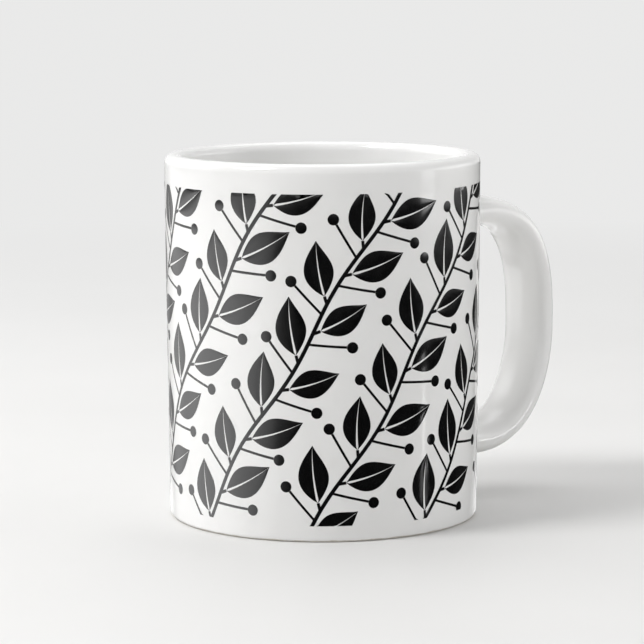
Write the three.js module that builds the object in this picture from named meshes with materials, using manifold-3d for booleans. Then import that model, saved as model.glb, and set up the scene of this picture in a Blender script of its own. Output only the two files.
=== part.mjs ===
// A straight-sided ceramic mug with an ear-shaped handle and a printed band.
// Millimetres, +Z up. The foot stands on z = 0 and the handle points along +X.
// The origin lies under the middle of the whole mug, handle included.
import * as THREE from 'three';
import { mergeVertices } from 'three/addons/utils/BufferGeometryUtils.js';
import Module from 'manifold-3d';

const wasm = await Module();
wasm.setup();

// Cup: an almost straight wall with a full-round lip and a foot ring.
const CUP_HEIGHT = 94.6;
const RIM_RADIUS = 41.0;
const FOOT_TAPER = 0.8; // how much smaller the outer radius is at the foot
const WALL_THICKNESS = 4.8;
const FLOOR_THICKNESS = 5.2;
const INNER_CORNER_RADIUS = 9.0;
const FOOT_EDGE_RADIUS = 0.9;
const FOOT_RING_WIDTH = 4.0; // the flat ring that stands on the table
const FOOT_RECESS_DEPTH = 1.4;
const FOOT_RECESS_SLOPE = 2.0; // radial run of the slope inside the ring

// Handle: a strap whose middle follows two curves that meet upright at its outermost point.
const HANDLE_TOP_DROP = 19.5; // lip to the middle of the upper root
const HANDLE_BOTTOM_HEIGHT = 16.9; // table to the middle of the lower root
const HANDLE_WIDEST_RISE = 26.4; // lower root to the outermost point
const HANDLE_REACH = 30.5; // rim to the middle of the strap at its outermost point
const HANDLE_TOP_PULL = new THREE.Vector2(34.3, 8.0); // the upper arm leaves out and up
const HANDLE_BOTTOM_PULL = new THREE.Vector2(27.7, -10.7); // the lower arm leaves out and down
const HANDLE_BACK_UPPER_PULL = 12.1; // length of the upright stretch above the outermost point
const HANDLE_BACK_LOWER_PULL = 10.9; // and below it
const HANDLE_TOP_THICKNESS = 7.8;
const HANDLE_BOTTOM_THICKNESS = 9.4;
const HANDLE_TOP_WIDTH = 17.4;
const HANDLE_BOTTOM_WIDTH = 15.0;
const HANDLE_FULLNESS = 2.3; // section exponent: 2 is an ellipse, higher is squarer

// Slip: the pads of liquid clay that hold the handle's two ends to the cup.
const SLIP_THICKNESS = 0.8;
const SLIP_BEAD = 1.2; // how far a pad is squeezed out past the handle's outline
const FIT_GAP = 0.3; // between faces that are shaped to each other

// Printed band: a thin film round the wall, open at the handle.
const PRINT_TOP_MARGIN = 7.3; // bare wall up to the lip
const PRINT_BOTTOM_MARGIN = 4.2; // bare wall down to the table
const PRINT_HANDLE_MARGIN = 11.5; // bare wall on each side of the handle
const FILM_THICKNESS = 0.12;
const FILM_GAP = 0.03;

// How finely round shapes are divided.
const CUP_SEGMENTS = 80;
const LIP_STEPS = 10;
const CORNER_STEPS = 6;
const EDGE_STEPS = 3;
const STRAP_SIDES = 24;
const STRAP_STEPS = 36;
const ROOT_STEPS = 8;
const ROOT_SHARE = 0.2; // share of the strap's length in which a root's pad lies
const MERGE_DISTANCE = 1e-4;

const wallRadius = (z) => RIM_RADIUS - FOOT_TAPER * (1 - z / CUP_HEIGHT);
const lipRadius = WALL_THICKNESS / 2;
const lipStart = CUP_HEIGHT - lipRadius;

// Points on a circular arc in the (radius, height) plane, angles in radians.
function arc(centreRadius, centreHeight, radius, from, to, steps) {
  const curve = new THREE.EllipseCurve(centreRadius, centreHeight, radius, radius, from, to, to < from);
  return curve.getPoints(steps);
}

// Turns a (radius, height) outline round the cup's upright axis.
function turned(outline) {
  return new THREE.LatheGeometry(outline, CUP_SEGMENTS).rotateX(Math.PI / 2);
}

// Turns a closed geometry into a solid that can be cut and joined.
// Triangles that collapse on the axis have no area and are left out.
function toSolid(geometry) {
  const bare = geometry.clone();
  bare.deleteAttribute('normal');
  bare.deleteAttribute('uv');
  const merged = mergeVertices(bare, MERGE_DISTANCE);
  const corners = merged.index.array;
  const triVerts = [];
  for (let i = 0; i < corners.length; i += 3) {
    const [a, b, c] = corners.slice(i, i + 3);
    if (a !== b && b !== c && c !== a) {
      triVerts.push(a, b, c);
    }
  }
  const mesh = new wasm.Mesh({
    numProp: 3,
    vertProperties: merged.attributes.position.array,
    triVerts: Uint32Array.from(triVerts),
  });
  return new wasm.Manifold(mesh);
}

function toGeometry(solid) {
  const { vertProperties, triVerts } = solid.getMesh();
  const geometry = new THREE.BufferGeometry();
  geometry.setAttribute('position', new THREE.BufferAttribute(vertProperties, 3));
  geometry.setIndex(new THREE.BufferAttribute(triVerts, 1));
  geometry.computeVertexNormals();
  return geometry;
}

function piece(name, geometry, material) {
  const mesh = new THREE.Mesh(geometry, material);
  mesh.name = name;
  return mesh;
}

// The cup's outline runs from the underside's middle out over the foot ring, up the wall,
// over the lip, down the inside and back along the floor to the axis.
function cupGeometry() {
  const ringOuter = wallRadius(0) - FOOT_EDGE_RADIUS;
  const ringInner = ringOuter - FOOT_RING_WIDTH;
  const floorTop = FOOT_RECESS_DEPTH + FLOOR_THICKNESS;
  const lipCentre = wallRadius(lipStart) - lipRadius;
  const cornerHeight = floorTop + INNER_CORNER_RADIUS;
  const cornerCentre = wallRadius(cornerHeight) - WALL_THICKNESS - INNER_CORNER_RADIUS;
  return turned([
    new THREE.Vector2(0, FOOT_RECESS_DEPTH),
    new THREE.Vector2(ringInner - FOOT_RECESS_SLOPE, FOOT_RECESS_DEPTH),
    new THREE.Vector2(ringInner, 0),
    ...arc(ringOuter, FOOT_EDGE_RADIUS, FOOT_EDGE_RADIUS, -Math.PI / 2, 0, EDGE_STEPS),
    ...arc(lipCentre, lipStart, lipRadius, 0, Math.PI, LIP_STEPS),
    ...arc(cornerCentre, cornerHeight, INNER_CORNER_RADIUS, 0, -Math.PI / 2, CORNER_STEPS),
    new THREE.Vector2(0, floorTop),
  ]);
}

// The middle line of the strap, from the upper root to the lower one, in the XZ plane.
// It starts and ends inside the wall, so that its ends can be cut to the wall's curve.
function handleLine() {
  const at = (x, z) => new THREE.Vector3(x, 0, z);
  const topHeight = CUP_HEIGHT - HANDLE_TOP_DROP;
  const top = at(wallRadius(topHeight) - WALL_THICKNESS / 2, topHeight);
  const bottom = at(wallRadius(HANDLE_BOTTOM_HEIGHT) - WALL_THICKNESS / 2, HANDLE_BOTTOM_HEIGHT);
  const widest = at(RIM_RADIUS + HANDLE_REACH, HANDLE_BOTTOM_HEIGHT + HANDLE_WIDEST_RISE);
  const line = new THREE.CurvePath();
  line.add(new THREE.CubicBezierCurve3(
    top,
    at(top.x + HANDLE_TOP_PULL.x, top.z + HANDLE_TOP_PULL.y),
    at(widest.x, widest.z + HANDLE_BACK_UPPER_PULL),
    widest,
  ));
  line.add(new THREE.CubicBezierCurve3(
    widest,
    at(widest.x, widest.z - HANDLE_BACK_LOWER_PULL),
    at(bottom.x + HANDLE_BOTTOM_PULL.x, bottom.z + HANDLE_BOTTOM_PULL.y),
    bottom,
  ));
  return line;
}

// A closed stretch of the strap between two shares of its length: rings of a rounded section
// that tapers from the upper root to the lower one, and a fan of triangles over each end.
function strapGeometry(line, from, to, steps, growth) {
  const positions = [];
  const index = [];
  const rounded = (value) => Math.sign(value) * Math.abs(value) ** (2 / HANDLE_FULLNESS);
  for (let i = 0; i <= steps; i += 1) {
    const share = THREE.MathUtils.lerp(from, to, i / steps);
    const middle = line.getPoint(share);
    const along = line.getTangent(share);
    const thickness = THREE.MathUtils.lerp(HANDLE_TOP_THICKNESS, HANDLE_BOTTOM_THICKNESS, share);
    const width = THREE.MathUtils.lerp(HANDLE_TOP_WIDTH, HANDLE_BOTTOM_WIDTH, share);
    for (let j = 0; j < STRAP_SIDES; j += 1) {
      const turn = (2 * Math.PI * j) / STRAP_SIDES;
      const out = rounded(Math.cos(turn)) * (thickness / 2 + growth);
      const side = rounded(Math.sin(turn)) * (width / 2 + growth);
      positions.push(middle.x - along.z * out, side, middle.z + along.x * out);
    }
  }
  for (let i = 0; i < steps; i += 1) {
    for (let j = 0; j < STRAP_SIDES; j += 1) {
      const next = (j + 1) % STRAP_SIDES;
      const near = i * STRAP_SIDES;
      const far = near + STRAP_SIDES;
      index.push(near + j, far + j, near + next, near + next, far + j, far + next);
    }
  }
  const lastRing = steps * STRAP_SIDES;
  const firstMiddle = lastRing + STRAP_SIDES;
  const lastMiddle = firstMiddle + 1;
  positions.push(...line.getPoint(from).toArray(), ...line.getPoint(to).toArray());
  for (let j = 0; j < STRAP_SIDES; j += 1) {
    const next = (j + 1) % STRAP_SIDES;
    index.push(firstMiddle, j, next, lastMiddle, lastRing + next, lastRing + j);
  }
  const geometry = new THREE.BufferGeometry();
  geometry.setAttribute('position', new THREE.Float32BufferAttribute(positions, 3));
  geometry.setIndex(index);
  return geometry;
}

// A solid core of the wall's outer shape, larger by a margin, that cuts the handle's ends.
function wallCore(margin) {
  return toSolid(turned([
    new THREE.Vector2(0, 0),
    new THREE.Vector2(wallRadius(0) + margin, 0),
    new THREE.Vector2(wallRadius(CUP_HEIGHT) + margin, CUP_HEIGHT),
    new THREE.Vector2(0, CUP_HEIGHT),
  ]));
}

// A ring that follows the wall between two heights, from one distance off it to another.
function wallRing(low, high, near, far) {
  return toSolid(turned([
    new THREE.Vector2(wallRadius(low) + near, low),
    new THREE.Vector2(wallRadius(low) + far, low),
    new THREE.Vector2(wallRadius(high) + far, high),
    new THREE.Vector2(wallRadius(high) + near, high),
    new THREE.Vector2(wallRadius(low) + near, low),
  ]));
}

// One pad: a stretch of the strap, grown by the bead, within the slip's layer on the wall.
function slipGeometry(line, from, to) {
  const stub = toSolid(strapGeometry(line, from, to, ROOT_STEPS, SLIP_BEAD));
  const layer = wallRing(FOOT_EDGE_RADIUS, lipStart, FIT_GAP, FIT_GAP + SLIP_THICKNESS);
  return toGeometry(stub.intersect(layer));
}

// The film is a ring just clear of the wall's facets, with a wedge cut out at the handle.
function filmGeometry() {
  const facetRise = RIM_RADIUS * (1 / Math.cos(Math.PI / CUP_SEGMENTS) - 1);
  const near = facetRise + FILM_GAP;
  const ring = wallRing(PRINT_BOTTOM_MARGIN, CUP_HEIGHT - PRINT_TOP_MARGIN, near, near + FILM_THICKNESS);
  const halfOpening = HANDLE_TOP_WIDTH / 2 + PRINT_HANDLE_MARGIN;
  const halfAngle = Math.asin(halfOpening / RIM_RADIUS);
  const wedgeLength = 2 * RIM_RADIUS;
  const wedgeOutline = new THREE.Shape([
    new THREE.Vector2(0, 0),
    new THREE.Vector2(wedgeLength, -wedgeLength * Math.tan(halfAngle)),
    new THREE.Vector2(wedgeLength, wedgeLength * Math.tan(halfAngle)),
  ]);
  const wedge = new THREE.ExtrudeGeometry(wedgeOutline, { depth: CUP_HEIGHT, bevelEnabled: false });
  return toGeometry(ring.subtract(toSolid(wedge)));
}

const glaze = new THREE.MeshStandardMaterial({ color: 0xf3f2ef, roughness: 0.1, metalness: 0 });
const handleGlaze = new THREE.MeshStandardMaterial({ color: 0xf3f2ef, roughness: 0.12, metalness: 0 });
const slipGlaze = new THREE.MeshStandardMaterial({ color: 0xefeeea, roughness: 0.16, metalness: 0 });
const printFilm = new THREE.MeshStandardMaterial({ color: 0xf0f0ee, roughness: 0.14, metalness: 0 });

const line = handleLine();
const handleEnds = wallCore(FIT_GAP + SLIP_THICKNESS + FIT_GAP);
const handleStrap = toSolid(strapGeometry(line, 0, 1, STRAP_STEPS, 0));

const mug = new THREE.Group();
mug.add(
  piece('cup_body', cupGeometry(), glaze),
  piece('handle', toGeometry(handleStrap.subtract(handleEnds)), handleGlaze),
  piece('upper_slip_joint', slipGeometry(line, 0, ROOT_SHARE), slipGlaze),
  piece('lower_slip_joint', slipGeometry(line, 1 - ROOT_SHARE, 1), slipGlaze),
  piece('print_wrap', filmGeometry(), printFilm),
);

// The whole mug's middle goes over the origin.
const extent = new THREE.Box3().setFromObject(mug);
mug.position.x = -(extent.min.x + extent.max.x) / 2;

export default mug;
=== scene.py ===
import math

import bmesh
import bpy
import numpy as np
from mathutils import Matrix, Vector


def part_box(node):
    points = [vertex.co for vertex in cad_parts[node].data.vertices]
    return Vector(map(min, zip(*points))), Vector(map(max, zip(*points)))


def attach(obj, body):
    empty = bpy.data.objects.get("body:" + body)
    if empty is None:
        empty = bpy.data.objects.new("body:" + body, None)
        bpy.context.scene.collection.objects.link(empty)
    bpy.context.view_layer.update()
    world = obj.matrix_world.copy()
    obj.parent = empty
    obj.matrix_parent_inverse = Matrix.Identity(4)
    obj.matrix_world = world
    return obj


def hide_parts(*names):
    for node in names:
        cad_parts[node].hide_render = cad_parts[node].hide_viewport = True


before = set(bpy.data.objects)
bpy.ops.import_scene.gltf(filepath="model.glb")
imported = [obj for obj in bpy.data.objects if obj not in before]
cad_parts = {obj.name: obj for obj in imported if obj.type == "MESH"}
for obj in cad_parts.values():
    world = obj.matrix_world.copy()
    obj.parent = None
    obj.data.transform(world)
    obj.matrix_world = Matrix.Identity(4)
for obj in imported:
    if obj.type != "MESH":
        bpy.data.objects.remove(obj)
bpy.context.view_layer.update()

# Cup body: one cast piece of white stoneware with an almost straight wall, a thick full-round lip and
# a foot that is hollowed inside a flat ring. It is glazed inside and dipped in a clear glaze, and the
# ring that stands on the table is wiped bare before firing. Its inside is painted a little whiter
# than the outside, as painted light for the light that bounces round inside the cup.
cup_low, cup_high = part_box("cup_body")
CUP_AXIS_X = (cup_low.x + cup_high.x) / 2
CUP_HEIGHT = cup_high.z
RIM_RADIUS = cup_high.y
FOOT_TAPER = 0.0008
WALL_THICKNESS = 0.0048
FLOOR_THICKNESS = 0.0052
INNER_CORNER_RADIUS = 0.009
FOOT_EDGE_RADIUS = 0.0009
FOOT_RING_WIDTH = 0.004
FOOT_RECESS_DEPTH = 0.0014
FOOT_RECESS_SLOPE = 0.002
CUP_COLUMNS = 288
FLOOR_STEPS = 24
RECESS_SLOPE_STEPS = 14
FOOT_RING_STEPS = 10
FOOT_EDGE_STEPS = 12
WALL_STEPS = 48
LIP_STEPS = 40
INNER_CORNER_STEPS = 28
MERGE_DISTANCE = 1e-7
SHARP_FOLD = math.radians(50)
GLAZE_LIGHT = (0.872, 0.870, 0.862, 1.0)
GLAZE_DEEP = (0.850, 0.847, 0.836, 1.0)
# Painted light: the inside's glaze colour is painted whiter than the outside's, to stand in for the
# light that bounces round inside the cup.
GLAZE_INSIDE_PAINTED_LIGHT = (0.955, 0.953, 0.945, 1.0)
GLAZE_IOR = 1.52
GLAZE_ROUGHNESS = (0.055, 0.095)
GLAZE_POOL_SIZE = 0.028
GLAZE_GLOSS_SIZE = 0.006
GLAZE_RIPPLE_SIZE = 0.009
CUP_RIPPLE_DEPTH = 0.00004
GLAZE_LINE_HEIGHT = 0.00045
GLAZE_LINE_BLUR = 0.0001
GLAZE_LINE_WANDER = 0.0002
GLAZE_LINE_WANDER_SIZE = 0.004
CLAY_LIGHT = (0.70, 0.665, 0.61, 1.0)
CLAY_DARK = (0.56, 0.53, 0.485, 1.0)
CLAY_GRAIN_SIZE = 0.0007
CLAY_GRAIN_HARSHNESS = 0.65
CLAY_ADDED_ROUGHNESS = 0.75
NOISE_MIDDLE = (0.35, 0.65)
NOISE_MOST = (0.3, 0.7)


def wall_radius(height):
    """Outer radius of the wall: the rim's, less a taper that grows evenly towards the foot."""
    return RIM_RADIUS - FOOT_TAPER * (1 - height / CUP_HEIGHT)


def arc(centre, radius, start, end, count):
    """Points on a circular arc in the (radius, height) plane: the centre plus radius times
    (cos, sin) of angles stepped evenly from start to end, in degrees."""
    angles = np.radians(np.linspace(start, end, count))
    return np.asarray(centre) + radius * np.stack([np.cos(angles), np.sin(angles)], axis=1)


def cup_profile():
    """The cup's closed outline in the (radius, height) plane, from the middle of the underside
    over the foot ring, up the wall, round the lip, down the inside and back to the axis."""
    ring_outer = wall_radius(0) - FOOT_EDGE_RADIUS
    ring_inner = ring_outer - FOOT_RING_WIDTH
    floor_top = FOOT_RECESS_DEPTH + FLOOR_THICKNESS
    lip_radius = WALL_THICKNESS / 2
    lip_start = CUP_HEIGHT - lip_radius
    corner_height = floor_top + INNER_CORNER_RADIUS
    corner_centre = wall_radius(corner_height) - WALL_THICKNESS - INNER_CORNER_RADIUS
    underside = np.linspace(0, ring_inner - FOOT_RECESS_SLOPE, FLOOR_STEPS)[:-1]
    slope = np.linspace(0, 1, RECESS_SLOPE_STEPS)
    slope_height = FOOT_RECESS_DEPTH * (1 - slope * slope * (3 - 2 * slope))
    ring = np.linspace(ring_inner, ring_outer, FOOT_RING_STEPS)[1:-1]
    wall = np.linspace(FOOT_EDGE_RADIUS, lip_start, WALL_STEPS)[1:-1]
    inside = np.linspace(lip_start, corner_height, WALL_STEPS)[1:-1]
    floor = np.linspace(corner_centre, 0, FLOOR_STEPS)[1:]
    return np.concatenate([
        np.stack([underside, np.full_like(underside, FOOT_RECESS_DEPTH)], axis=1),
        np.stack([ring_inner + FOOT_RECESS_SLOPE * (slope - 1), slope_height], axis=1),
        np.stack([ring, np.zeros_like(ring)], axis=1),
        arc((ring_outer, FOOT_EDGE_RADIUS), FOOT_EDGE_RADIUS, -90, 0, FOOT_EDGE_STEPS),
        np.stack([wall_radius(wall), wall], axis=1),
        arc((wall_radius(lip_start) - lip_radius, lip_start), lip_radius, 0, 180, LIP_STEPS),
        np.stack([wall_radius(inside) - WALL_THICKNESS, inside], axis=1),
        arc((corner_centre, corner_height), INNER_CORNER_RADIUS, 0, -90, INNER_CORNER_STEPS),
        np.stack([floor, np.full_like(floor, floor_top)], axis=1),
    ])


def turned(profile, columns):
    """A surface of revolution round the cup's axis: each (radius, height) point of the profile
    swept through a full turn, as a grid of rows along the profile and columns round the axis."""
    angles = np.linspace(0, 2 * math.pi, columns, endpoint=False)
    radius = profile[:, :1]
    height = np.broadcast_to(profile[:, 1:], (len(profile), columns))
    return np.stack([CUP_AXIS_X + radius * np.cos(angles), radius * np.sin(angles), height], axis=2)


def grid_faces(rows, columns, wrap_rows, wrap_columns):
    """Quads between neighbouring points of a grid, joined back to the start where it wraps."""
    row = np.arange(rows if wrap_rows else rows - 1)[:, None]
    column = np.arange(columns if wrap_columns else columns - 1)[None, :]
    below = (row + 1) % rows
    beside = (column + 1) % columns
    corners = [row * columns + column, row * columns + beside,
               below * columns + beside, below * columns + column]
    return np.stack(np.broadcast_arrays(*corners), axis=2).reshape(-1, 4)


def mesh_piece(name, points, faces, material):
    """An object with smooth shading from points and quads. Points that fall together, as at a
    pole, are merged, which closes the surface, and the faces are turned to point outwards.
    Folds sharper than SHARP_FOLD keep a crisp edge."""
    used, corners = np.unique(faces, return_inverse=True)
    mesh = bpy.data.meshes.new(name)
    mesh.from_pydata(points.reshape(-1, 3)[used].tolist(), [], corners.reshape(-1, 4).tolist())
    sheet = bmesh.new()
    sheet.from_mesh(mesh)
    bmesh.ops.remove_doubles(sheet, verts=sheet.verts, dist=MERGE_DISTANCE)
    bmesh.ops.recalc_face_normals(sheet, faces=sheet.faces)
    sheet.to_mesh(mesh)
    sheet.free()
    mesh.polygons.foreach_set("use_smooth", np.ones(len(mesh.polygons), dtype=bool))
    mesh.set_sharp_from_angle(angle=SHARP_FOLD)
    mesh.materials.append(material)
    piece = bpy.data.objects.new(name, mesh)
    bpy.context.scene.collection.objects.link(piece)
    return piece


def shader(name):
    """A new material, its node tree, its surface shader and the piece's Object coordinates."""
    material = bpy.data.materials.new(name)
    material.use_nodes = True
    tree = material.node_tree
    surface = tree.nodes["Principled BSDF"]
    place = tree.nodes.new("ShaderNodeTexCoord").outputs["Object"]
    return material, tree, surface, place


def noise(tree, place, size, detail, harshness=0.5):
    """Noise whose lumps are about the given size in metres. Detail counts the finer layers on
    them, and harshness is each layer's share of the one before."""
    node = tree.nodes.new("ShaderNodeTexNoise")
    node.inputs["Scale"].default_value = 1 / size
    node.inputs["Detail"].default_value = detail
    node.inputs["Roughness"].default_value = harshness
    tree.links.new(place, node.inputs["Vector"])
    return node.outputs["Fac"]


def spread(tree, value, low, high, to_low, to_high):
    """Carries a value from one range to another, held at the ends."""
    node = tree.nodes.new("ShaderNodeMapRange")
    sockets = ("From Min", "From Max", "To Min", "To Max")
    for socket, number in zip(sockets, (low, high, to_low, to_high)):
        node.inputs[socket].default_value = number
    tree.links.new(value, node.inputs["Value"])
    return node.outputs["Result"]


def tint(tree, value, first, second):
    """Runs from one colour to another as the value goes from 0 to 1."""
    node = tree.nodes.new("ShaderNodeValToRGB")
    node.color_ramp.elements[0].color = first
    node.color_ramp.elements[1].color = second
    tree.links.new(value, node.inputs["Fac"])
    return node.outputs["Color"]


def combine(tree, kind, first, second):
    """A Math node on two values, each a number or another node's output."""
    node = tree.nodes.new("ShaderNodeMath")
    node.operation = kind
    for socket, value in zip(node.inputs, (first, second)):
        if isinstance(value, bpy.types.NodeSocket):
            tree.links.new(value, socket)
        else:
            socket.default_value = value
    return node.outputs["Value"]


def mixed(tree, share, first, second):
    """Mixes two colours by a share that may vary over the surface."""
    node = tree.nodes.new("ShaderNodeMix")
    node.data_type = "RGBA"
    factor, colour_a, colour_b = node.inputs[0], node.inputs[6], node.inputs[7]
    for source, socket in ((share, factor), (first, colour_a), (second, colour_b)):
        tree.links.new(source, socket)
    return node.outputs[2]


def bumped(tree, surface, height, depth):
    """Raises the surface's shading by a height field, whose full range is depth metres."""
    node = tree.nodes.new("ShaderNodeBump")
    node.inputs["Distance"].default_value = depth
    tree.links.new(height, node.inputs["Height"])
    tree.links.new(node.outputs["Normal"], surface.inputs["Normal"])


def glaze_parts(tree, surface, place):
    """What all glazed surfaces share: how strongly they mirror, how far the glaze has pooled, a
    gloss that varies slightly, and the height of a faint slow ripple."""
    surface.inputs["IOR"].default_value = GLAZE_IOR
    pooling = spread(tree, noise(tree, place, GLAZE_POOL_SIZE, detail=2), *NOISE_MIDDLE, 0, 1)
    patches = noise(tree, place, GLAZE_GLOSS_SIZE, detail=3)
    gloss = spread(tree, patches, *NOISE_MOST, *GLAZE_ROUGHNESS)
    ripple = noise(tree, place, GLAZE_RIPPLE_SIZE, detail=1)
    return pooling, gloss, ripple


def glaze_material(name, ripple_depth):
    """Clear gloss glaze over white clay, whose white drifts a little where the glaze pools."""
    material, tree, surface, place = shader(name)
    pooling, gloss, ripple = glaze_parts(tree, surface, place)
    tree.links.new(tint(tree, pooling, GLAZE_LIGHT, GLAZE_DEEP), surface.inputs["Base Color"])
    tree.links.new(gloss, surface.inputs["Roughness"])
    bumped(tree, surface, ripple, ripple_depth)
    return material


def cup_material():
    """The cup's glaze and bare clay on the foot ring. The inside is painted whiter than the outside,
    as painted light for the light that bounces round inside the cup. The distance from the axis and
    the height say what is inside. The height above the table, shaken by noise, says whether it is
    past the uneven line where the glaze begins."""
    material, tree, surface, place = shader("cup_glaze")
    pooling, gloss, ripple = glaze_parts(tree, surface, place)
    outside_colour = tint(tree, pooling, GLAZE_LIGHT, GLAZE_DEEP)
    # Painted light: the inside gets a whiter copy of the glaze, a painted lightening for the light
    # that bounces round inside the cup.
    inside_painted_light_colour = tint(tree, pooling, GLAZE_INSIDE_PAINTED_LIGHT, GLAZE_LIGHT)
    grain = noise(tree, place, CLAY_GRAIN_SIZE, detail=6, harshness=CLAY_GRAIN_HARSHNESS)
    clay_colour = tint(tree, spread(tree, grain, *NOISE_MIDDLE, 0, 1), CLAY_DARK, CLAY_LIGHT)
    split = tree.nodes.new("ShaderNodeSeparateXYZ")
    tree.links.new(place, split.inputs["Vector"])
    off_axis = combine(tree, "SUBTRACT", split.outputs["X"], CUP_AXIS_X)
    square = combine(tree, "ADD", combine(tree, "MULTIPLY", off_axis, off_axis),
                     combine(tree, "MULTIPLY", split.outputs["Y"], split.outputs["Y"]))
    radius = combine(tree, "SQRT", square, 0.0)
    wall_inside = RIM_RADIUS - WALL_THICKNESS
    within = spread(tree, radius, wall_inside, wall_inside + WALL_THICKNESS / 2, 1, 0)
    floor_middle = FOOT_RECESS_DEPTH + FLOOR_THICKNESS / 2
    above_floor = combine(tree, "GREATER_THAN", split.outputs["Z"], floor_middle)
    inside = combine(tree, "MULTIPLY", within, above_floor)
    glaze_colour = mixed(tree, inside, outside_colour, inside_painted_light_colour)
    shake = noise(tree, place, GLAZE_LINE_WANDER_SIZE, detail=4)
    ragged = spread(tree, shake, *NOISE_MOST, -GLAZE_LINE_WANDER, GLAZE_LINE_WANDER)
    height = combine(tree, "ADD", split.outputs["Z"], ragged)
    line_low, line_high = GLAZE_LINE_HEIGHT - GLAZE_LINE_BLUR, GLAZE_LINE_HEIGHT + GLAZE_LINE_BLUR
    glazed = spread(tree, height, line_low, line_high, 0, 1)
    bare = combine(tree, "SUBTRACT", 1.0, glazed)
    tree.links.new(mixed(tree, glazed, clay_colour, glaze_colour), surface.inputs["Base Color"])
    dull = combine(tree, "MULTIPLY", bare, CLAY_ADDED_ROUGHNESS)
    tree.links.new(combine(tree, "ADD", gloss, dull), surface.inputs["Roughness"])
    waves = combine(tree, "MULTIPLY", ripple, glazed)
    pits = combine(tree, "MULTIPLY", grain, bare)
    bumped(tree, surface, combine(tree, "ADD", waves, pits), CUP_RIPPLE_DEPTH)
    return material


cup_grid = turned(cup_profile(), CUP_COLUMNS)
cup_faces = grid_faces(*cup_grid.shape[:2], wrap_rows=False, wrap_columns=True)
cup = mesh_piece("cup", cup_grid, cup_faces, cup_material())
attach(cup, "root")
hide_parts("cup_body")

# Handle: an ear-shaped strap of the same clay, cast by itself and trimmed to the cup's curve at
# both ends. Its rounded section is wider and thinner at the top, and the glaze runs over it.
HANDLE_TOP_DROP = 0.0195
HANDLE_BOTTOM_HEIGHT = 0.0169
HANDLE_WIDEST_RISE = 0.0264
HANDLE_REACH = 0.0305
HANDLE_TOP_PULL = np.array([0.0343, 0.0080])
HANDLE_BOTTOM_PULL = np.array([0.0277, -0.0107])
HANDLE_BACK_UPPER_PULL = np.array([0.0, 0.0121])
HANDLE_BACK_LOWER_PULL = np.array([0.0, -0.0109])
HANDLE_THICKNESS = (0.0078, 0.0094)
HANDLE_WIDTH = (0.0174, 0.0150)
HANDLE_FULLNESS = 2.3
HANDLE_CURVE_STEPS = 400
HANDLE_ROWS = 260
HANDLE_SIDES = 112
HANDLE_RIPPLE_DEPTH = 0.00005


def bezier(start, start_pull, end_pull, end, steps):
    """A cubic curve from start to end that leaves and arrives along the two pulls."""
    t = np.linspace(0, 1, steps)[:, None]
    first, second = start + start_pull, end + end_pull
    return ((1 - t) ** 3 * start + 3 * (1 - t) ** 2 * t * first
            + 3 * (1 - t) * t ** 2 * second + t ** 3 * end)


def handle_line():
    """The strap's middle line as (distance from the cup's axis, height) points, from inside the
    wall at the top, out to the upright outermost point and back into the wall at the bottom."""
    top_height = CUP_HEIGHT - HANDLE_TOP_DROP
    half_wall = WALL_THICKNESS / 2
    top = np.array([wall_radius(top_height) - half_wall, top_height])
    bottom = np.array([wall_radius(HANDLE_BOTTOM_HEIGHT) - half_wall, HANDLE_BOTTOM_HEIGHT])
    widest = np.array([RIM_RADIUS + HANDLE_REACH, HANDLE_BOTTOM_HEIGHT + HANDLE_WIDEST_RISE])
    upper = bezier(top, HANDLE_TOP_PULL, HANDLE_BACK_UPPER_PULL, widest, HANDLE_CURVE_STEPS)
    lower = bezier(widest, HANDLE_BACK_LOWER_PULL, HANDLE_BOTTOM_PULL, bottom, HANDLE_CURVE_STEPS)
    return np.concatenate([upper, lower[1:]])


strap_line = handle_line()
strap_steps = np.linalg.norm(np.diff(strap_line, axis=0), axis=1)
strap_length = strap_steps.sum()
strap_share = np.concatenate([[0], np.cumsum(strap_steps)]) / strap_length
strap_along = np.gradient(strap_line, axis=0)
strap_along /= np.linalg.norm(strap_along, axis=1)[:, None]


def strap_surface(share, turn):
    """Points of the strap: share is how far along its middle line, turn the angle round its
    section. The section is a superellipse, thickness across the line and width along Y, whose
    two sizes run evenly from the top root's to the bottom root's."""
    share, turn = np.broadcast_arrays(share, turn)
    middle = [np.interp(share, strap_share, strap_line[:, i]) for i in range(2)]
    along = [np.interp(share, strap_share, strap_along[:, i]) for i in range(2)]
    half_thickness = np.interp(share, (0, 1), HANDLE_THICKNESS) / 2
    half_width = np.interp(share, (0, 1), HANDLE_WIDTH) / 2
    out = half_thickness * np.sign(np.cos(turn)) * np.abs(np.cos(turn)) ** (2 / HANDLE_FULLNESS)
    side = half_width * np.sign(np.sin(turn)) * np.abs(np.sin(turn)) ** (2 / HANDLE_FULLNESS)
    distance = middle[0] - along[1] * out
    height = middle[1] + along[0] * out
    return np.stack([CUP_AXIS_X + distance, side, height], axis=-1)


def strap_middle(share):
    """Points on the strap's middle line."""
    distance, height = (np.interp(share, strap_share, strap_line[:, i]) for i in range(2))
    return np.stack([CUP_AXIS_X + distance, np.zeros_like(distance), height], axis=-1)


section_turns = np.linspace(0, 2 * math.pi, HANDLE_SIDES, endpoint=False)
strap_rows = np.linspace(0, 1, HANDLE_ROWS)[:, None]
strap_ends = np.repeat(strap_middle(np.array([0.0, 1.0]))[:, None, :], HANDLE_SIDES, axis=1)
handle_grid = np.concatenate([
    strap_ends[:1], strap_surface(strap_rows, section_turns[None, :]), strap_ends[1:]])
handle_faces = grid_faces(*handle_grid.shape[:2], wrap_rows=False, wrap_columns=True)
handle_glaze = glaze_material("handle_glaze", HANDLE_RIPPLE_DEPTH)
handle = mesh_piece("handle_strap", handle_grid, handle_faces, handle_glaze)
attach(handle, "root")
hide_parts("handle")

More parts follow.
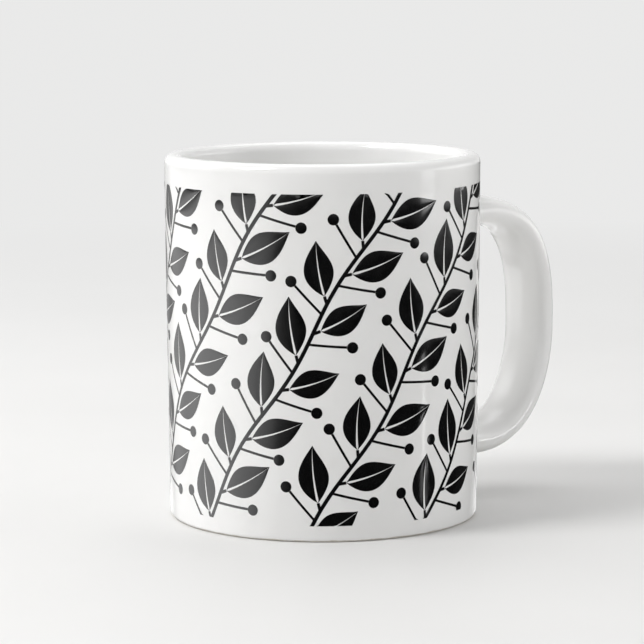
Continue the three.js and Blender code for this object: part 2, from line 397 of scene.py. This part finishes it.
# Slip joints: liquid clay holds each end of the handle to the cup. It is sponged to a soft
# fillet all round the root before glazing, so the strap runs into the wall without a seam.
FILLET_REACH = 0.0026
FILLET_RISE = 0.00002
FILLET_SINK = 0.0006
FILLET_STEPS = 18
ROOT_SHARE = 0.12
ROOT_ROWS = 240
SLIP_RIPPLE_DEPTH = 0.00006


def off_wall(points):
    """How far points lie outside the cup's outer wall, along the radius."""
    return np.hypot(points[..., 0] - CUP_AXIS_X, points[..., 1]) - wall_radius(points[..., 2])


def onto_wall(points, rise):
    """The points moved along the radius to stand a small rise off the wall."""
    offset = points[..., :2] - np.array([CUP_AXIS_X, 0.0])
    radius = wall_radius(points[..., 2]) + rise
    offset = offset * (radius / np.linalg.norm(offset, axis=-1))[..., None]
    return np.concatenate([offset + np.array([CUP_AXIS_X, 0.0]), points[..., 2:]], axis=-1)


def fillet_grid(root, direction):
    """A ring of fillet round one root. For each turn round the section, a quadratic curve goes
    from a point on the wall, pulled by the line where strap and wall meet, to a point on the
    strap. Three sunk rows close the ring inside the clay."""
    shares = root + direction * np.linspace(0, ROOT_SHARE, ROOT_ROWS)
    stub = strap_surface(shares[:, None], section_turns[None, :])
    outside = off_wall(stub) > 0
    meeting_share = shares[outside.argmax(axis=0)]
    meeting = strap_surface(meeting_share, section_turns)
    strap_share_end = meeting_share + direction * FILLET_REACH / strap_length
    on_strap = strap_surface(strap_share_end, section_turns)
    around = np.roll(meeting, -1, axis=0) - np.roll(meeting, 1, axis=0)
    outward = meeting - np.array([CUP_AXIS_X, 0.0, 0.0])
    outward[:, 2] = 0
    away = np.cross(outward, around)
    away /= np.linalg.norm(away, axis=1)[:, None]
    away *= np.sign(np.sum(away * (meeting - meeting.mean(axis=0)), axis=1))[:, None]
    on_wall = onto_wall(meeting + FILLET_REACH * away, FILLET_RISE)
    t = np.linspace(0, 1, FILLET_STEPS)[:, None, None]
    curve = (1 - t) ** 2 * on_wall + 2 * (1 - t) * t * meeting + t ** 2 * on_strap
    to_middle = strap_middle(strap_share_end) - on_strap
    to_middle /= np.linalg.norm(to_middle, axis=1)[:, None]
    sunk = [on_strap + FILLET_SINK * to_middle,
            onto_wall(meeting, -FILLET_SINK) + FILLET_SINK * to_middle,
            onto_wall(on_wall, -FILLET_SINK)]
    return np.concatenate([curve, np.stack(sunk)])


slip_glaze = glaze_material("slip_glaze", SLIP_RIPPLE_DEPTH)
for name, node, root, direction in (("upper_fillet", "upper_slip_joint", 0.0, 1.0),
                                    ("lower_fillet", "lower_slip_joint", 1.0, -1.0)):
    slip_grid = fillet_grid(root, direction)
    slip_faces = grid_faces(*slip_grid.shape[:2], wrap_rows=True, wrap_columns=True)
    fillet = mesh_piece(name, slip_grid, slip_faces, slip_glaze)
    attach(fillet, "root")
    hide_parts(node)

# Printed band: a thin transfer film, fired onto the glazed wall, that carries the print and stops
# short of the handle on both sides. It is clear, so it shows the glaze's own white and gloss.
film_low, film_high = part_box("print_wrap")
FILM_BOTTOM = film_low.z
FILM_TOP = film_high.z
FILM_HALF_OPENING = math.acos((film_high.x - CUP_AXIS_X) / film_high.y)
FILM_HALF_LENGTH = (math.pi - FILM_HALF_OPENING) * RIM_RADIUS
FILM_EDGE_SINK = 0.00001
FILM_RISE = 0.00004
FILM_BACK_SINK = 0.00003
FILM_FEATHER = 0.0025
FILM_COLUMNS = 361
FILM_ROWS = 91
FILM_RIPPLE_DEPTH = 0.00004


def on_band(along, height, lift):
    """Wraps flat print coordinates round the cup: the length along the band, measured at the rim
    from the side opposite the handle, is an angle, and the point stands a lift off the wall."""
    angle = math.pi + along / RIM_RADIUS
    radius = wall_radius(height) + lift
    return np.stack([CUP_AXIS_X + radius * np.cos(angle), radius * np.sin(angle), height], axis=-1)


def film_grid():
    """The film's front and back as one loop of rows. Both leave the wall's surface at the edges,
    and a smooth step over the feather width raises the front and sinks the back between them."""
    along = np.linspace(-FILM_HALF_LENGTH, FILM_HALF_LENGTH, FILM_COLUMNS)[None, :]
    height = np.linspace(FILM_BOTTOM, FILM_TOP, FILM_ROWS)[:, None]
    from_end = FILM_HALF_LENGTH - np.abs(along)
    from_side = np.minimum(height - FILM_BOTTOM, FILM_TOP - height)
    inset = np.clip(np.minimum(from_end, from_side) / FILM_FEATHER, 0, 1)
    raised = inset * inset * (3 - 2 * inset)
    front = on_band(*np.broadcast_arrays(along, height, FILM_RISE * raised - FILM_EDGE_SINK))
    back = on_band(*np.broadcast_arrays(along, height, -FILM_BACK_SINK * raised - FILM_EDGE_SINK))
    return np.concatenate([front, back[::-1]])


film_points = film_grid()
film_faces = grid_faces(*film_points.shape[:2], wrap_rows=True, wrap_columns=False)
film_gloss = glaze_material("film_gloss", FILM_RIPPLE_DEPTH)
film = mesh_piece("print_film", film_points, film_faces, film_gloss)
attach(film, "root")
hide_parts("print_wrap")

# Ink: glossy black enamel, printed on the film and fired with it into thin raised shapes. Leafy
# vines with berries climb across the band, and the shapes are cut off straight at its edges.
VINE_SLOPE = math.radians(58)
VINE_SPACING = 0.0262
VINE_COUNT = 11
VINE_WAVE_HEIGHT = 0.001
VINE_WAVE_LENGTH = 0.05
VINE_WAVE_SHIFT = 1.9
VINE_HALF_WIDTH = 0.0005
VINE_HALF_RUN = 0.068
VINE_ROWS = 220
LEAF_PITCH = 0.0082
LEAF_LENGTH = 0.014
LEAF_WIDTH = 0.0074
LEAF_FULLEST = 0.86
LEAF_POINTEDNESS = 1.08
LEAF_ANGLE = math.radians(44)
LEAF_CURL = math.radians(16)
LEAF_STALK_LENGTH = 0.0021
LEAF_STALK_HALF_WIDTH = 0.0004
LEAF_STALK_ROWS = 3
LEAF_RIB_HALF_WIDTH = 0.0003
LEAF_ROWS = 17
LEAF_COLUMNS = 4
LEAF_SIZE_DRIFT = 0.06
LEAF_DRIFT_STEP = 2.4
VINE_DRIFT_STEP = 1.3
BERRY_BACK_STEP = 0.0028
BERRY_ANGLE = math.radians(70)
BERRY_CURL = math.radians(2)
BERRY_STALK_LENGTH = 0.0098
BERRY_STALK_HALF_WIDTH = 0.00032
BERRY_STALK_ROWS = 8
BERRY_RADIUS = 0.00145
BERRY_RINGS = 3
BERRY_SIDES = 17
INK_LIFT = 0.00005
INK_THICKNESS = 0.00003
INK_SMALLEST_FACE = 1e-11
SMALLEST_SHOWN_SHARE = 0.4
INK_DEEP = (0.0010, 0.0010, 0.0011, 1.0)
INK_THIN = (0.0030, 0.0030, 0.0032, 1.0)
INK_IOR = 1.8
INK_ROUGHNESS = (0.10, 0.16)
INK_BLOTCH_SIZE = 0.0016
INK_GLOSS_SIZE = 0.004
vine_number = np.arange(VINE_COUNT)[:, None]
leaf_steps = math.ceil(VINE_HALF_RUN / LEAF_PITCH)
leaf_number = np.arange(-leaf_steps, leaf_steps + 1)[None, :]
leaf_run = leaf_number * LEAF_PITCH + (vine_number % 2) * LEAF_PITCH / 2
leaf_side = np.broadcast_to(np.where(leaf_number % 2 == 0, 1.0, -1.0), leaf_run.shape)


def vine(run, number):
    """The middle of a vine, by its number, at a run along it: a slanted line with a sine wave
    across it. Gives the length along the band, the height and the heading."""
    phase = 2 * math.pi * run / VINE_WAVE_LENGTH + VINE_WAVE_SHIFT * number
    wave = VINE_WAVE_HEIGHT * np.sin(phase)
    lean = VINE_WAVE_HEIGHT * 2 * math.pi / VINE_WAVE_LENGTH * np.cos(phase)
    foot = (number - (VINE_COUNT - 1) / 2) * VINE_SPACING / math.sin(VINE_SLOPE)
    along = foot + run * math.cos(VINE_SLOPE) - wave * math.sin(VINE_SLOPE)
    middle = (FILM_BOTTOM + FILM_TOP) / 2
    height = middle + run * math.sin(VINE_SLOPE) + wave * math.cos(VINE_SLOPE)
    return along, height, VINE_SLOPE + np.arctan(lean)


def stroke(start, heading, length, curl, across):
    """Curved strokes in the flat print: each leaves its start along its heading and turns evenly
    by its curl over its length, and across gives the distances to its left, row by row. Gives
    flat grids of length along the band and height, one per stroke."""
    share = np.linspace(0, 1, across.shape[-2])[:, None]
    heading, length, curl = (np.asarray(value)[..., None, None] for value in (heading, length, curl))
    turn = heading + curl * share
    chord = heading + curl * share / 2
    along = start[0][..., None, None] + length * share * np.cos(chord) - across * np.sin(turn)
    height = start[1][..., None, None] + length * share * np.sin(chord) + across * np.cos(turn)
    return along, height


def line_across(half_width, rows):
    """The across distances of a plain line of even width: left edge, middle and right edge."""
    return np.broadcast_to(half_width * np.array([-1.0, 0.0, 1.0]), (rows, 3))


def leaf_stalks():
    """A short straight stalk from the vine to the foot of every leaf."""
    along, height, heading = vine(leaf_run, vine_number)
    length = np.full_like(along, LEAF_STALK_LENGTH)
    across = line_across(LEAF_STALK_HALF_WIDTH, LEAF_STALK_ROWS)
    heading = heading + leaf_side * LEAF_ANGLE
    return stroke((along, height), heading, length, np.zeros_like(along), across)


def half_leaves(hand):
    """One half of every leaf, left or right of its rib. Each row goes from the bare rib, which
    narrows to the tip, out to the margin: the half width times a power of a sine that peaks a
    little nearer the stalk than the tip."""
    foot = tuple(value[:, :, -1, 1] for value in leaf_stalks())
    heading = vine(leaf_run, vine_number)[2] + leaf_side * LEAF_ANGLE
    size = 1 + LEAF_SIZE_DRIFT * np.sin(LEAF_DRIFT_STEP * leaf_number + VINE_DRIFT_STEP * vine_number)
    share = np.linspace(0, 1, LEAF_ROWS)[:, None]
    margin = LEAF_WIDTH / 2 * np.sin(math.pi * share ** LEAF_FULLEST) ** LEAF_POINTEDNESS
    rib = np.minimum(LEAF_RIB_HALF_WIDTH * (1 - share), margin)
    half = rib + (margin - rib) * np.linspace(0, 1, LEAF_COLUMNS)
    across = hand * half * size[..., None, None]
    return stroke(foot, heading, LEAF_LENGTH * size, -leaf_side * LEAF_CURL, across)


def vine_stems():
    """Every vine's own line, a narrow strip that follows its wave."""
    run = np.linspace(-VINE_HALF_RUN, VINE_HALF_RUN, VINE_ROWS)[None, :]
    along, height, heading = (value[:, None, :, None] for value in vine(run, vine_number))
    across = line_across(VINE_HALF_WIDTH, VINE_ROWS)
    return along - across * np.sin(heading), height + across * np.cos(heading)


def berry_stalks(length):
    """A thin curved stalk just behind every leaf."""
    along, height, heading = vine(leaf_run - BERRY_BACK_STEP, vine_number)
    across = line_across(BERRY_STALK_HALF_WIDTH, BERRY_STALK_ROWS)
    return stroke((along, height), heading + leaf_side * BERRY_ANGLE, np.full_like(along, length),
                  -leaf_side * BERRY_CURL, across)


def berries():
    """A round berry past the end of every stalk: rings of growing radius round its middle."""
    reaching = berry_stalks(BERRY_STALK_LENGTH + BERRY_RADIUS)
    along, height = (value[:, :, -1:, 1:2] for value in reaching)
    turn = np.linspace(0, 2 * math.pi, BERRY_SIDES)[None, :]
    radius = BERRY_RADIUS * np.linspace(0, 1, BERRY_RINGS)[:, None]
    return along + radius * np.cos(turn), height + radius * np.sin(turn)


def shown_share(grids):
    """The share of each shape's points that lies inside the band."""
    along, height = grids
    inside = (np.abs(along) < FILM_HALF_LENGTH) & (height > FILM_BOTTOM) & (height < FILM_TOP)
    return inside.mean(axis=(-2, -1))


def picked(grids, kept):
    """The shapes of one kind that are kept."""
    return tuple(value[kept] for value in grids)


def grid_border(grids):
    """Marks the points on all four sides of a grid."""
    border = np.ones(grids[0].shape[-2:], dtype=bool)
    border[1:-1, 1:-1] = False
    return border


def outer_ring(grids):
    """Marks the points of a grid's last row."""
    border = np.zeros(grids[0].shape[-2:], dtype=bool)
    border[-1] = True
    return border


def ink_patch(grids, border):
    """Flat print grids as thin closed bodies of ink on the cup. A point past the band's edge is
    moved to it, and quads that lose their area there are dropped. The front stands the ink's
    thickness above the back and meets it at each grid's border and along the band's edge."""
    rows, columns = border.shape
    along, height = (value.reshape(-1, rows, columns) for value in grids)
    kept_along = np.clip(along, -FILM_HALF_LENGTH, FILM_HALF_LENGTH)
    kept_height = np.clip(height, FILM_BOTTOM, FILM_TOP)
    raised = (kept_along == along) & (kept_height == height) & ~border
    faces = grid_faces(rows, columns, wrap_rows=False, wrap_columns=False)
    first_point = np.arange(len(along))[:, None, None] * rows * columns
    faces = (faces[None] + first_point).reshape(-1, 4)
    flat = np.stack([kept_along.ravel(), kept_height.ravel()], axis=1)
    across = flat[faces[:, 2]] - flat[faces[:, 0]]
    beside = flat[faces[:, 3]] - flat[faces[:, 1]]
    area = np.abs(across[:, 0] * beside[:, 1] - across[:, 1] * beside[:, 0]) / 2
    faces = faces[area > INK_SMALLEST_FACE]
    front = on_band(kept_along, kept_height, INK_LIFT + INK_THICKNESS * raised).reshape(-1, 3)
    back = on_band(kept_along, kept_height, INK_LIFT).reshape(-1, 3)
    return np.concatenate([front, back]), np.concatenate([faces, faces[:, ::-1] + len(front)])


def ink_material():
    """Glossy black ink: a little thinner in small blotches, with a slightly uneven gloss."""
    material, tree, surface, place = shader("black_ink")
    surface.inputs["IOR"].default_value = INK_IOR
    blotches = spread(tree, noise(tree, place, INK_BLOTCH_SIZE, detail=4), *NOISE_MIDDLE, 0, 1)
    tree.links.new(tint(tree, blotches, INK_DEEP, INK_THIN), surface.inputs["Base Color"])
    patches = noise(tree, place, INK_GLOSS_SIZE, detail=3)
    tree.links.new(spread(tree, patches, *NOISE_MOST, *INK_ROUGHNESS), surface.inputs["Roughness"])
    bumped(tree, surface, noise(tree, place, GLAZE_RIPPLE_SIZE, detail=1), FILM_RIPPLE_DEPTH)
    return material


black_ink = ink_material()
left_halves = half_leaves(1.0)
right_halves = half_leaves(-1.0)
leaf_shown = (shown_share(left_halves) + shown_share(right_halves)) / 2 > SMALLEST_SHOWN_SHARE
berry_discs = berries()
berry_shown = shown_share(berry_discs) > SMALLEST_SHOWN_SHARE
ink_shapes = (
    ("ink_vine_stems", vine_stems(), grid_border),
    ("ink_leaf_stalks", picked(leaf_stalks(), leaf_shown), grid_border),
    ("ink_leaf_left_halves", picked(left_halves, leaf_shown), grid_border),
    ("ink_leaf_right_halves", picked(right_halves, leaf_shown), grid_border),
    ("ink_berry_stalks", berry_stalks(BERRY_STALK_LENGTH), grid_border),
    ("ink_berries", picked(berry_discs, berry_shown), outer_ring),
)
for name, flat_grids, border_of in ink_shapes:
    ink = mesh_piece(name, *ink_patch(flat_grids, border_of(flat_grids)), black_ink)
    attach(ink, "root")
    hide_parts("print_wrap")

# Floor: a plain pale satin surface under the cup, which fades into an even pale backdrop, so that
# the ground has no end. It is hidden from mirrored rays, because low lamps and cards give the
# glaze plain pale things to mirror instead.
FLOOR_HALF_SIDE = 8.0
FLOOR_LIGHT = (0.800, 0.796, 0.786, 1.0)
FLOOR_SHADE = (0.780, 0.776, 0.766, 1.0)
FLOOR_CLOUD_SIZE = 0.12
FLOOR_ROUGHNESS = 0.5
FLOOR_FADE_START = 0.22
FLOOR_FADE_END = 0.75
BACKDROP_COLOUR = (1.0, 1.0, 0.995, 1.0)
BACKDROP_STRENGTH = 0.82


def floor_material():
    """A satin floor that drifts a little in tone. Away from the cup it fades into a surface that
    glows evenly in the backdrop's colour, so that the ground has no end."""
    material, tree, surface, place = shader("pale_floor")
    cloud = spread(tree, noise(tree, place, FLOOR_CLOUD_SIZE, detail=3), *NOISE_MIDDLE, 0, 1)
    tree.links.new(tint(tree, cloud, FLOOR_LIGHT, FLOOR_SHADE), surface.inputs["Base Color"])
    surface.inputs["Roughness"].default_value = FLOOR_ROUGHNESS
    distance = tree.nodes.new("ShaderNodeVectorMath")
    distance.operation = "LENGTH"
    tree.links.new(place, distance.inputs[0])
    away = spread(tree, distance.outputs["Value"], FLOOR_FADE_START, FLOOR_FADE_END, 0, 1)
    glow = tree.nodes.new("ShaderNodeEmission")
    glow.inputs["Color"].default_value = BACKDROP_COLOUR
    glow.inputs["Strength"].default_value = BACKDROP_STRENGTH
    fade = tree.nodes.new("ShaderNodeMixShader")
    output = tree.nodes["Material Output"]
    tree.links.new(away, fade.inputs["Fac"])
    tree.links.new(surface.outputs["BSDF"], fade.inputs[1])
    tree.links.new(glow.outputs["Emission"], fade.inputs[2])
    tree.links.new(fade.outputs["Shader"], output.inputs["Surface"])
    return material


floor_ends = [-FLOOR_HALF_SIDE, FLOOR_HALF_SIDE]
floor_x, floor_y = np.meshgrid(floor_ends, floor_ends)
floor_points = np.stack([floor_x, floor_y, np.zeros_like(floor_x)], axis=2)
floor_faces = grid_faces(*floor_points.shape[:2], wrap_rows=False, wrap_columns=False)
floor = mesh_piece("floor", floor_points, floor_faces, floor_material())
floor.visible_glossy = False

# Lamps: softboxes at the upper left, at the left, overhead and at the right light the cup. Low
# lamps and cards round it, which reach below the floor, are what the glaze mirrors, and a small
# spot through a grid draws a thin bright line along the handle.
VIEW_AZIMUTH = math.radians(-37)
LOW_LAMP_DISTANCE = 0.9
CARD_HEIGHT = -0.02
CARD_LEAN = 0.02
CARD_AIM_HEIGHT = 0.2
CARD_EDGES = (0.2, 0.2)
WIDE_BEAM = math.radians(180)
NARROW_BEAM = math.radians(10)
HIGHLIT_SHARE = 0.79


def from_picture(bearing, distance, height):
    """A point round the cup's axis: bearing 0 is towards the camera, 90 the picture's right."""
    angle = VIEW_AZIMUTH + math.radians(bearing)
    return Vector((CUP_AXIS_X + distance * math.sin(angle), -distance * math.cos(angle), height))


def soft_lamp(name, place, aim, size, power, edges, beam=WIDE_BEAM):
    """A rectangular lamp at a place, turned to face its aim, with a width and a height. It is
    brightest in the middle and dims evenly over an edge share of its width and of its height, as
    a softbox does. A grid in front of it can narrow its beam."""
    lamp = bpy.data.lights.new(name, "AREA")
    lamp.shape = "RECTANGLE"
    lamp.size, lamp.size_y = size
    lamp.energy = power
    lamp.spread = beam
    lamp.use_nodes = True
    tree = lamp.node_tree
    sides = tree.nodes.new("ShaderNodeSeparateXYZ")
    lamp_place = tree.nodes.new("ShaderNodeNewGeometry").outputs["Parametric"]
    tree.links.new(lamp_place, sides.inputs["Vector"])
    inset = [spread(tree, combine(tree, "PINGPONG", sides.outputs[axis], 0.5), 0, edge, 0, 1)
             for axis, edge in zip(("X", "Y"), edges)]
    tree.links.new(combine(tree, "MULTIPLY", *inset), tree.nodes["Emission"].inputs["Strength"])
    holder = bpy.data.objects.new(name, lamp)
    facing = (Vector(aim) - Vector(place)).to_track_quat("-Z", "Y")
    holder.matrix_world = Matrix.Translation(place) @ facing.to_matrix().to_4x4()
    holder.visible_camera = False
    bpy.context.scene.collection.objects.link(holder)


def low_lamp(name, bearing, height, size, power, edges):
    """A lamp low beside the cup, upright and facing its axis."""
    soft_lamp(name, from_picture(bearing, LOW_LAMP_DISTANCE, height), from_picture(0, 0, height),
              size, power, edges)


def flat_card(name, bearing, distance, size, power):
    """A pale card that lies behind the cup just below the floor, tipped a little towards it. Its
    height runs away from the cup."""
    soft_lamp(name, from_picture(bearing, distance, CARD_HEIGHT),
              from_picture(bearing, distance - CARD_LEAN, CARD_AIM_HEIGHT), size, power, CARD_EDGES)


cup_middle = Vector((CUP_AXIS_X, 0.0, CUP_HEIGHT / 2))
low_lamp("left_panel", bearing=-90, height=-0.19, size=(2.8, 0.44), power=6.6, edges=(0.41, 0.15))
low_lamp("left_card", bearing=-155, height=-0.1, size=(1.2, 0.44), power=0.78, edges=(0.3, 0.15))
low_lamp("right_strip", bearing=80, height=0.03, size=(0.22, 0.1), power=0.15, edges=(0.15, 0.4))
low_lamp("right_card", bearing=150, height=-0.1, size=(1.4, 0.44), power=0.04, edges=(0.3, 0.15))
low_lamp("front_card", bearing=-37, height=-0.15, size=(0.66, 0.44), power=0.22, edges=(0.5, 0.15))
flat_card("back_card", bearing=176, distance=0.15, size=(0.24, 0.14), power=0.095)
flat_card("far_card", bearing=172, distance=0.36, size=(0.1, 0.36), power=0.09)
soft_lamp("handle_spot", from_picture(bearing=79.2, distance=0.9, height=-0.14),
          strap_middle(np.array([HIGHLIT_SHARE]))[0], size=(0.09, 0.07), power=0.0008,
          edges=(0.3, 0.3), beam=NARROW_BEAM)
soft_lamp("key_softbox", from_picture(bearing=-65, distance=0.7, height=0.95), cup_middle,
          size=(0.45, 0.45), power=14.6, edges=(0.3, 0.3))
soft_lamp("left_softbox", from_picture(bearing=-115, distance=0.85, height=0.5), cup_middle,
          size=(1.0, 0.8), power=5.2, edges=(0.4, 0.4))
soft_lamp("top_softbox", from_picture(bearing=180, distance=0.5, height=1.1), cup_middle,
          size=(1.2, 1.2), power=8.4, edges=(0.3, 0.3))
soft_lamp("right_fill", from_picture(bearing=100, distance=0.9, height=0.22), cup_middle,
          size=(1.4, 0.55), power=5.9, edges=(0.4, 0.4))

# Sky: a plain grey dome, palest at the horizon, where it has the backdrop's tone, and dark below.
SKY_ZENITH = 0.19
SKY_GROUND = 0.02
SKY_GROUND_END = 0.47
SKY_HORIZON = 0.5
world = bpy.data.worlds.new("studio")
world.use_nodes = True
bpy.context.scene.world = world
world_tree = world.node_tree
sky_split = world_tree.nodes.new("ShaderNodeSeparateXYZ")
sky_way = world_tree.nodes.new("ShaderNodeTexCoord").outputs["Generated"]
world_tree.links.new(sky_way, sky_split.inputs["Vector"])
sky_rise = spread(world_tree, sky_split.outputs["Z"], -1, 1, 0, 1)
sky = world_tree.nodes.new("ShaderNodeValToRGB")
ground, zenith = sky.color_ramp.elements
ground.position = SKY_GROUND_END
ground.color = (SKY_GROUND, SKY_GROUND, SKY_GROUND, 1.0)
zenith.color = (SKY_ZENITH, SKY_ZENITH, SKY_ZENITH, 1.0)
horizon = sky.color_ramp.elements.new(SKY_HORIZON)
horizon.color = (BACKDROP_STRENGTH, BACKDROP_STRENGTH, BACKDROP_STRENGTH, 1.0)
world_tree.links.new(sky_rise, sky.inputs["Fac"])
background = world_tree.nodes["Background"]
world_tree.links.new(sky.outputs["Color"], background.inputs["Color"])

# Camera: a long lens a little above the rim, which looks down at the cup by about eight degrees.
VIEW_DISTANCE = 0.7248
VIEW_HEIGHT = 0.1503
VIEW_PITCH = math.radians(7.869)
VIEW_ROLL = math.radians(-0.197)
VIEW_PAN = math.radians(0.017)
LENS_MM = 156.36
SENSOR_MM = 36.0
VIEW_REACH = 50.0
camera_data = bpy.data.cameras.new("camera")
camera_data.lens = LENS_MM
camera_data.sensor_width = SENSOR_MM
camera_data.clip_end = VIEW_REACH
camera = bpy.data.objects.new("camera", camera_data)
camera.matrix_world = (
    Matrix.Translation(from_picture(0, VIEW_DISTANCE, VIEW_HEIGHT))
    @ Matrix.Rotation(VIEW_AZIMUTH + VIEW_PAN, 4, "Z")
    @ Matrix.Rotation(math.pi / 2 - VIEW_PITCH, 4, "X")
    @ Matrix.Rotation(VIEW_ROLL, 4, "Z"))
bpy.context.scene.collection.objects.link(camera)
bpy.context.scene.camera = camera
bpy.context.scene.view_settings.view_transform = "Standard"
